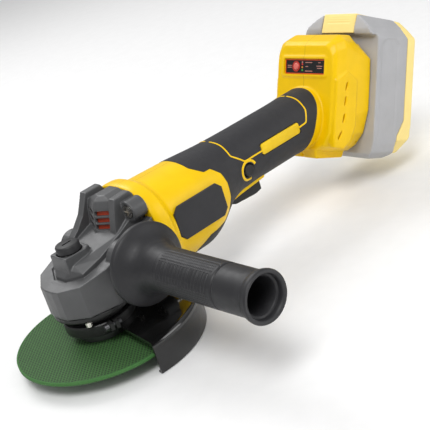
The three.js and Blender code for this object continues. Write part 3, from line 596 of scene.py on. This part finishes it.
def lock_on_button():
    profile = [(0, -10.6), (2.2, -10.6), (2.2, -16.1), (4.2, -16.1), (4.3, -16.6), (4.3, -21.8),
               (3.9, -22.4), (3.2, -22.6), (2.2, -22.35), (0, -22.2)]
    piece = lathe("lock_on_cap", profile, "y", (LOCK_ON[0], 0, LOCK_ON[1]), 48, False)
    return finish(piece, BLACK, "lock_on", ("lock_on_button",), angle=40)


# ---------- rear block ----------
# Outlines of one half in the block's own axes: x', then (y, z') from the bottom to the top.
SECTIONS = [
    (0, [(14, -19.5), (23, -15.5), (28, -6), (29, 6), (29, 44), (28.2, 51.5), (25, 56.5), (21.5, 58.7)]),
    (3, [(15, -20.5), (25, -16), (30, -6), (31, 6), (31, 46), (30.4, 54.5), (28, 60), (24, 62.2)]),
    (12, [(16, -21), (26, -16), (31, -6), (31.7, 6), (31.7, 50), (31.4, 57.5), (29, 63.3), (23, 67.2)]),
    (26, [(16, -21), (26, -16), (31, -6), (31.7, 8), (31.7, 45), (31, 54), (26.5, 61.5), (20, 67.4)]),
    (40, [(11.4, -21), (19.6, -16), (27.2, -6), (31.2, 11), (31.2, 40), (31, 49.5), (20.5, 58), (13, 67)]),
]
# Lower and upper end of each side vent.
VENTS = [
    ((12.4, 25.8), (13.9, 32.6)), ((12.0, 14.6), (12.8, 21.6)),
    ((10.9, 2.0), (12.4, 9.2)), ((6.4, -10.6), (10.0, -4.2)),
]
BUTTON_AT = (0, 9, 43)  # middle of the display's button


def block_skin():
    rings = []
    for x, half in SECTIONS:
        right = [(x, y, z) for y, z in half]
        rings.append(right + [(x, -y, z) for y, z in reversed(half)])
    return tilted(loft("block", rings))


def block_cutters():
    bay = [
        brick("bay", (28.5, -23, -14), (36.6, 23, 80)),
        brick("bay", (36.2, -19, -14), (50, 19, 80)),
        brick("display", (-2, -21.4, 37), (1.2, 21.4, 48.7)),
        drum("button", 3.1, -3, 8, "x", BUTTON_AT),
        brick("notch", (-5, -1.4, -30), (40, 1.4, -22.6)),
    ]
    for (x0, z0), (x1, z1) in VENTS:
        for side in (-1, 1):
            mid = ((x0 + x1) / 2, (z0 + z1) / 2)
            outline = [(x0 - 0.4, z0), (x0 + 0.7, z0 - 0.2), (mid[0] + 1.3, mid[1]), (x1 + 0.8, z1),
                       (x1 - 0.1, z1 + 0.3), (mid[0] - 0.5, mid[1] + 0.4)]
            y0, y1 = sorted((side * 24, side * 40))
            bay.append(prism("vent", outline, y0, y1, "y"))
    return [tilted(cutter) for cutter in bay]


def block_relief():
    """Raised frame around the display and raised panels around the side vents."""
    frame_levels = [(1.0, 0), (-0.5, 0), (-0.9, 0.5)]
    rings = []
    for x, inset in frame_levels:
        rings.append([(x, y, z) for y, z in octagon((-23.8, 23.8), (34.7, 51), 1.6, -inset)])
    pieces = [loft("display_frame", rings)]
    outline = [(2.6, -16.5), (13, -18), (20, -13), (25, -1), (25, 34.4), (13.1, 41.4), (2.2, 34), (1.6, -8)]
    cx, cz = (13, 12)  # the panel's outline draws in towards this point
    for side in (-1, 1):
        levels = [(27, 1.0), (31.6, 1.0), (32.4, 0.95)]
        rings = []
        for y, k in levels:
            rings.append([(cx + (x - cx) * k, side * y, cz + (z - cz) * k) for x, z in outline])
        pieces.append(loft("vent_panel", rings))
    return [tilted(piece) for piece in pieces]


def rear_block():
    foot = tilted(prism("foot", [(2, -26), (30, -26), (33, -18), (0, -18)], -15, 15, "y"))
    block = combine("rear_block", [block_skin(), foot, body("neck", 192, 229.5, -0.7), *block_relief()])
    voxel(block, 0.6, 7)
    boolean(block, block_cutters())
    voxel(block, 0.5, 3, 0.4)
    boolean(block, [boolean(overmould_region(0.2), [ahead_of_block(0.1)], "INTERSECT")])
    return finish(block, YELLOW, "housing", angle=40)


def display():
    levels = [(0.5, 0.15), (0.9, 0.15), (1.1, 0.5)]
    rings = [
        [(x, y, z) for y, z in octagon((-21.1, 21.1), (37.3, 48.4), 0.8, -inset)] for x, inset in levels
    ]
    glass = boolean(tilted(loft("display_glass", rings)), [tilted(drum("hole", 3.1, -2, 4, "x", BUTTON_AT))])
    finish(glass, SCREEN, "housing", ("display_panel",), angle=30)
    bars = []
    for low, high in (((-21.0, 37.4), (21.0, 38.0)), ((-21.0, 47.7), (21.0, 48.3)),
                      ((-21.0, 37.4), (-20.3, 48.3)), ((20.3, 37.4), (21.0, 48.3))):
        bars.append(brick("bar", (0.45, low[0], low[1]), (0.95, high[0], high[1])))
    border = tilted(combine("display_border", bars))
    finish(border, BORDER, "housing", angle=30)
    prints = {MARKS: [], LAMP_RED: [], LAMP_AMBER: [], LAMP_GREEN: []}
    for z, colour in ((46.2, MARKS), (44.6, LAMP_RED), (42.4, LAMP_AMBER), (40.2, LAMP_GREEN)):
        prints[colour].append(brick("lamp", (0.35, 1.9, z - 0.6), (0.6, 3.3, z + 0.6)))
    for y, z, w in ((-4.2, 46, 3.6), (-2.2, 43, 1.3), (-4.4, 39.6, 3.8), (-15.5, 46, 1.2), (-15.5, 43.4, 3.0),
                    (-15.5, 41.8, 2.4), (16.4, 43.6, 2.2), (16.4, 42.2, 2.2)):
        prints[MARKS].append(brick("mark", (0.35, y - w, z - 0.3), (0.6, y + w, z + 0.3)))
    for material, bars in prints.items():
        marks = tilted(combine("display_marks", bars))
        finish(marks, material, "housing", angle=30)
    section = [(3.15, 0.3), (3.9, 0.3), (3.9, 0.0), (3.15, 0.0)]
    collar = tilted(lathe("button_ring", section, "x", BUTTON_AT, 40))
    finish(collar, RED, "housing", angle=30)
    profile = [(0, 5.4), (1.1, 5.4), (1.1, 3), (2.6, 3), (2.7, 2.4), (2.7, -0.1), (2.3, -0.5),
               (1.6, -0.6), (0, -0.45)]
    cap = tilted(lathe("speed_button_cap", profile, "x", BUTTON_AT, 40, False))
    finish(cap, BUTTON, "speed_button", ("speed_button",), angle=40)


# ---------- battery ----------
def pack_shell():
    top, bottom, half, front = 83.6, -26.5, 37, 40.6
    side = [
        (front, bottom + 4), (front, 68.2), (34.6, 68.2), (33.6, 72), (36.6, top), (71.5, 80.4),
        (71.5, 74), (74.7, 66), (74.7, 3), (67.5, -9), (66.5, -23.5), (60, bottom), (front + 4, bottom),
    ]
    near_half = [(half - 8, bottom), (half - 2, bottom + 5), (half, bottom + 14), (half, 67),
                 (half - 5, 74.6), (half - 12, 79.8), (half - 19, top)]
    across = [(-half + 8, bottom), *near_half, *[(-y, z) for y, z in reversed(near_half[1:])]]
    shell = prism("battery_shell", side, -60, 60, "y")
    boolean(shell, [prism("across", across, 20, 90, "x")], "INTERSECT")
    rail = brick("rail", (29.3, -22.6, -13.4), (36.2, 22.6, 48))
    neck = brick("neck", (36.0, -18.6, -13.4), (42.6, 18.6, 48))
    shell = combine("battery_shell", [shell, rail, neck])
    voxel(shell, 0.8, 3)
    cutters = [brick("slot", (20, y - 1, -20), (34.5, y + 1, 24)) for y in (-10.5, 10.5)]
    cutters.append(brick("pocket", (30, -17.4, 69.8), (56, 17.4, 90)))
    cutters.append(brick("pocket", (30, -17.4, 60), (36.4, 17.4, 71)))
    for s in (-1, 1):
        y0, y1 = sorted((s * 36.5, s * 40))
        cutters.append(prism("panel", octagon((45, 65), (-18, 66), 5), y0, y1, "y"))
    boolean(shell, cutters)
    voxel(shell, 0.8, 2, 0.6)
    tilted(shell)
    return finish(shell, PACK, "battery", ("battery_case",))


def pack_cap():
    half, back = 37, 83.5
    side = [(66.9, -23), (74, -22.5), (82.5, -10), (back, 0), (back, 65), (81, 73), (77, 79), (71.9, 80),
            (71.9, 74.1), (75.1, 66.1), (75.1, 2.9), (67.9, -9.1)]
    across = [(-half + 6, -23), (half - 6, -23), (half, -12), (half, 67), (half - 12, 79.8),
              (-half + 12, 79.8), (-half, 67), (-half, -12)]
    cap = prism("battery_cap", side, -60, 60, "y")
    boolean(cap, [prism("across", across, 60, 95, "x")], "INTERSECT")
    voxel(cap, 0.8, 4, 0.6)
    tilted(cap)
    return finish(cap, PACK_YELLOW, "battery", ("battery_end_cap",))


def pack_button():
    side = [(33.8, 69.4), (36.7, 84.2), (54.8, 82.4), (54.8, 71.6), (36.1, 71.6), (36.1, 69.4)]
    piece = prism("release_button", side, -16.9, 16.9, "y")
    ribs = [brick("rib", (20, -12, z), (34.3 + 0.2 * (z - 70), 12, z + 0.9)) for z in (77, 78.9, 80.8, 82.7)]
    boolean(piece, ribs)
    voxel(piece, 0.5, 4, 0.7)
    tilted(piece)
    return finish(piece, PACK_YELLOW, "battery_release", ("battery_release_button",))


# ---------- gear head ----------
def gear_head():
    head = copy_of("head_casting", "gear_housing")
    groove = prism("groove", [(-21.3, 6), (-20.7, 6.4), (-20.7, -6.4), (-21.3, -6)], 47.3, 50)
    boolean(head, [groove])
    voxel(head, 0.42, 5, 0.45)
    return finish(head, CAST, "housing", ("gear_housing",))


def lock_button():
    x, radius, top, low = -4.2, 8.2, 69, 63.1
    profile = [(0, low), (radius - 0.6, low), (radius, low + 0.6), (radius, top - 1.1),
               (radius - 0.5, top - 0.35), (radius - 1.3, top), (0, top)]
    cap = lathe("lock_cap", profile, "z", (x, 0, 0), 64, False)
    stem = drum("stem", 2, 40.2, low + 0.4, "z", (-9.6, 0, 0), 32)
    mark = brick("mark", (x - 3.5, -0.8, top - 0.9), (x + 3.5, 0.8, top + 1))
    piece = combine("lock_cap", [boolean(cap, [mark]), stem])
    return finish(piece, BLACK, "spindle_lock", ("spindle_lock_button",), angle=35)


def collar_plate():
    piece = copy_of("collar_plate", "bearing_plate")
    voxel(piece, 0.5, 3, 0.6)
    return finish(piece, BLACK_CAST, "housing", ("bearing_plate",))


# ---------- guard and disc ----------
PITCH = 2.15  # between neighbouring strands of the disc's glass cloth
GUARD_FROM, GUARD_TO, GUARD_STEPS = -96, 83, 120


def swept(name, section):
    """A section carried around the disc's axis over the guard's turn."""
    rings = []
    for i in range(GUARD_STEPS + 1):
        a = math.radians(GUARD_FROM + (GUARD_TO - GUARD_FROM) * i / GUARD_STEPS)
        rings.append([(r * math.cos(a), r * math.sin(a), z) for r, z in section])
    return loft(name, rings)


def guard():
    top, bottom, r = 11.2, -11.6, 67.65
    deck = [(21.6, top), (63.8, top), (65.6, top - 0.25), (66.9, top - 1.1), (67.55, top - 2.6), (r, top - 4),
            (65.8, top - 4), (65.4, top - 2.4), (21.6, top - 2)]
    skirt = [(r, top - 3.9), (r, bottom + 1.4), (67.3, bottom + 0.3), (66.8, bottom), (64.2, bottom),
             (63.6, bottom + 0.6), (63.7, bottom + 1.3), (64.4, bottom + 1.7), (66, bottom + 2.2),
             (66, top - 3.9)]
    top_piece = swept("guard_top", deck)
    skirt_piece = swept("guard_skirt", skirt)
    finish(top_piece, GLOSS, "guard", ("wheel_guard",), angle=35)
    finish(skirt_piece, SATIN, "guard", angle=35)
    finish(guard_collar(), BLACK_CAST, "guard", angle=35)


def guard_collar():
    """The clamping collar, with its two ears turned to the end of the guard."""
    profile = [(21.05, 9.3), (24.7, 9.3), (24.8, 9.8), (24.8, 16.2), (24.3, 16.8), (21.4, 16.8),
               (21.05, 16.4)]
    collar = lathe("guard_collar", profile, sides=128)
    ears = [brick("ear", (22.6, 2 * s - 1.3, 12), (30, 2 * s + 1.3, 16.8)) for s in (-1, 1)]
    split = brick("split", (19, -0.7, 11.5), (34, 0.7, 19))
    hole = drum("hole", 1.9, -10, 10, "y", (27, 0, 14.4))
    for piece in (*ears, split, hole):
        piece.data.transform(Matrix.Rotation(math.radians(-103), 4, "Z"))
    boolean(collar, ears, "UNION")
    return boolean(collar, [split, hole])


def disc_piece():
    """The bonded disc: two crossing bundles of glass strands stand out of both faces."""
    inner, half = 11.1, 1.25
    radii = np.concatenate([np.arange(inner, 61.2, 0.42), [61.3, 61.8, 62.2, 62.5]])
    sides = 760
    angles = np.arange(sides) * 2 * math.pi / sides

    def face(sign):
        rings = []
        for r in radii:
            x, y = r * np.cos(angles), r * np.sin(angles)
            u, v = (x + y) / math.sqrt(2), (y - x) / math.sqrt(2)
            over = np.cos(math.pi * u / PITCH) ** 2 + np.cos(math.pi * v / PITCH) ** 2
            relief = 0.0 if r > 61.25 or r < 18 else 1.0
            edge = 0.35 if r > 62.3 else 0.0
            z = half - edge - 0.28 * relief * (1 - over / 2)
            rings.append([(a, b, sign * c) for a, b, c in zip(x, y, np.broadcast_to(z, x.shape))])
        return rings

    rings = face(1) + face(-1)[::-1]
    faces = quads(len(rings), sides, closed_rows=True)
    piece = build("cutting_wheel", [p for ring in rings for p in ring], faces)
    return finish(piece, DISC, "spindle_set", ("cutting_disc",), angle=50)


def disc_material():
    material, tree, shader = node_tree("abrasive_disc")
    coords = tree.nodes.new("ShaderNodeTexCoord")

    def stripes(angle):
        turn = tree.nodes.new("ShaderNodeMapping")
        turn.inputs["Rotation"].default_value = (0, 0, angle)
        tree.links.new(coords.outputs["Object"], turn.inputs["Vector"])
        split = tree.nodes.new("ShaderNodeSeparateXYZ")
        tree.links.new(turn.outputs["Vector"], split.inputs["Vector"])
        wave = tree.nodes.new("ShaderNodeMath")
        wave.operation = "MULTIPLY"
        wave.inputs[1].default_value = 2 * math.pi / (PITCH * MM)
        tree.links.new(split.outputs["X"], wave.inputs[0])
        cosine = tree.nodes.new("ShaderNodeMath")
        cosine.operation = "COSINE"
        tree.links.new(wave.outputs[0], cosine.inputs[0])
        return cosine.outputs[0]

    both = tree.nodes.new("ShaderNodeMath")
    both.operation = "MAXIMUM"
    tree.links.new(stripes(math.radians(-45)), both.inputs[0])
    tree.links.new(stripes(math.radians(45)), both.inputs[1])
    weave = ramp(tree, both.outputs[0], 0.0, 0.75, 0, 1)
    grit = ramp(tree, noise(tree, 1500, 4), 0.35, 0.65, 0, 1)
    dark = mix(tree, grit, (0.006, 0.014, 0.006), (0.016, 0.036, 0.014))
    green = mix(tree, grit, (0.03, 0.105, 0.022), (0.06, 0.17, 0.042))
    tone = mix(tree, weave, dark, green)
    radial = tree.nodes.new("ShaderNodeVectorMath")
    radial.operation = "LENGTH"
    flat = tree.nodes.new("ShaderNodeVectorMath")
    flat.operation = "MULTIPLY"
    flat.inputs[1].default_value = (1, 1, 0)
    tree.links.new(coords.outputs["Object"], flat.inputs[0])
    tree.links.new(flat.outputs["Vector"], radial.inputs[0])
    rim = ramp(tree, radial.outputs["Value"], 61.1 * MM, 61.5 * MM, 0, 1)
    tone = mix(tree, rim, tone, mix(tree, grit, (0.03, 0.125, 0.025), (0.05, 0.165, 0.035)))
    tree.links.new(tone, shader.inputs["Base Color"])
    shader.inputs["Roughness"].default_value = 0.75
    bump(tree, shader, noise(tree, 2200, 3), 0.12)
    return material


# ---------- side handle ----------
RIBS = 16
RIB_STEP = 2.95
RIB_START = -80.6
RIB_TURN = math.radians(146)
RIB_HALF_LENGTH, RIB_HALF_WIDTH = 5.4, 0.95
NIB_STEP = 1.45


def handle_radius(y):
    stations = [(-50, 27), (-53, 27), (-54.6, 24.4), (-56.5, 21.4), (-59, 18.6), (-62, 16.9), (-66, 15.6),
                (-72, 14.75), (-78, 14.5), (-129, 14.2), (-150, 14.0), (-155, 14.4), (-158, 15.7),
                (-160.4, 16), (-161.2, 15.7), (-161.5, 15.1)]
    ys = [-p[0] for p in stations]
    spread = np.clip(-y + np.linspace(-0.6, 0.6, 5), 50, 161.5)
    return float(np.interp(spread, ys, [p[1] for p in stations]).mean())


def handle_relief(y, angles, radius):
    """Rib outlines, rows of small nibs, the panel's edge and the mould line."""
    relief = np.zeros_like(angles)
    for pad in (0.0, math.pi):
        turn = (angles - RIB_TURN - pad + math.pi) % (2 * math.pi) - math.pi
        along_arc = turn * radius
        k = round((RIB_START - y) / RIB_STEP)
        if 0 <= k < RIBS:
            dy = y - (RIB_START - k * RIB_STEP)
            d = np.hypot(np.maximum(np.abs(along_arc) - RIB_HALF_LENGTH, 0), dy) - RIB_HALF_WIDTH
            relief += 0.3 * np.exp(-((d / 0.24) ** 2)) + np.where(d < 0, 0.1, 0)
        for side in (-1, 1):
            for row in range(4):
                centre = side * (7.9 + 1.7 * row)
                nib = (y / NIB_STEP + (row % 2) * 0.5) % 1 - 0.5
                near = np.hypot((along_arc - centre) / 0.5, nib * NIB_STEP / 0.42)
                if -127.5 < y < -79.5:
                    relief += 0.26 * np.exp(-near ** 2)
        inset = np.hypot(np.maximum(np.abs(along_arc) - 9.5, 0), max(0.0, y + 82.5, -125.5 - y))
        relief -= 0.22 * np.exp(-(((inset - 5.2) / 0.3) ** 2))
        relief += 0.12 * np.exp(-((((turn - 0.17) * radius) / 0.22) ** 2))
    relief -= 0.8 * math.exp(-(((y + 130.5) / 0.7) ** 2))
    return relief


def side_handle():
    sides = 400
    angles = np.arange(sides) * 2 * math.pi / sides
    ys = np.concatenate([
        np.arange(-50, -77.9, -0.7), np.arange(-78, -128, -0.24), np.arange(-128, -133, -0.35),
        np.arange(-133, -154, -1.2), np.arange(-154, -161.6, -0.4), [-161.5],
    ])
    outer = []
    for y in ys:
        radius = handle_radius(y)
        r = radius + (handle_relief(y, angles, radius) if -134 < y < -76 else 0.0)
        r = np.broadcast_to(r, angles.shape)
        outer.append([
            (HANDLE_AT[0] + a * math.cos(t), float(y), HANDLE_AT[1] + a * math.sin(t))
            for a, t in zip(r, angles)
        ])
    bore = [(14.4, -161.5), (13.4, -161.0), (12.8, -159.6), (12.6, -157.6), (11.5, -157.2), (11.1, -156.6),
            (11.0, -140), (10.9, -76), (0.4, -76)]
    centre = (HANDLE_AT[0], 0, HANDLE_AT[1])

    def rounds(profile):
        return [[along("y", r, y, t, centre) for t in angles] for r, y in profile]

    inner = rounds(bore)
    front = rounds([(5.4, -50), (26.4, -50)])
    seat = rounds([(0.4, -73), (5.3, -72.9)])
    piece = loft("side_handle", [*seat, *front, *outer, *inner])
    return finish(piece, HANDLE_RUBBER, "side_handle", ("side_handle_grip",), angle=50)


# ---------- everything ----------
BADGE_FINISH = surface("badge_panel", (0.028, 0.028, 0.031), 0.5, grain=0.03, grain_scale=2500, shine=0.3)
BUTTON = surface("button_cap", (0.75, 0.16, 0.13), 0.4, grain=0.01)
LAMP_RED = surface("lamp_red", (0.6, 0.03, 0.02), 0.3, grain=0.0)
LAMP_AMBER = surface("lamp_amber", (0.7, 0.25, 0.02), 0.3, grain=0.0)
LAMP_GREEN = surface("lamp_green", (0.05, 0.35, 0.05), 0.3, grain=0.0)
FILTER = surface("filter_mesh", (0.36, 0.035, 0.008), 0.6, grain=0.1, grain_scale=900)
BORDER = surface("border_paint", (0.75, 0.09, 0.01), 0.4, grain=0.0)
MARKS = surface("display_print", (0.45, 0.2, 0.16), 0.5, grain=0.0)
DISC = disc_material()

setting()
motor_shell()
overmould()
grip_core()
inlays()
grip_plates()
badges()
trigger()
lock_on_button()
rear_block()
display()
pack_shell()
pack_cap()
pack_button()
gear_head()
lock_button()
collar_plate()
guard()
disc_piece()
side_handle()

CARRIED = {
    "gear_housing_screw": STEEL, "bearing_plate_screw": STEEL, "spindle_lock_spring": STEEL,
    "guard_clamp_screw": DARK_STEEL, "crown_gear": GEAR_STEEL, "spindle": STEEL, "inner_flange": DARK_STEEL,
    "outer_flange_nut": DARK_STEEL, "motor_shaft": STEEL, "pinion_gear": GEAR_STEEL, "cooling_fan": FAN,
    "rotor": MAGNET, "stator": COPPER, "motor_front_bearing": STEEL, "motor_rear_bearing": STEEL,
    "housing_screw": STEEL, "trigger_pin": STEEL, "switch_body": BLACK, "side_handle_stud": STEEL,
    "control_board": BOARD, "terminal_block": BLACK, "power_lead_positive": RED,
    "power_lead_negative": WIRE_BLACK, "hood_filter": FILTER, "battery_cell": CELL,
}
for node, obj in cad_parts.items():
    for start, material in CARRIED.items():
        if node.startswith(start) and not (start == "spindle" and "lock" in node):
            obj.data.materials.clear()
            obj.data.materials.append(material)
            shade(obj, 35)
            break
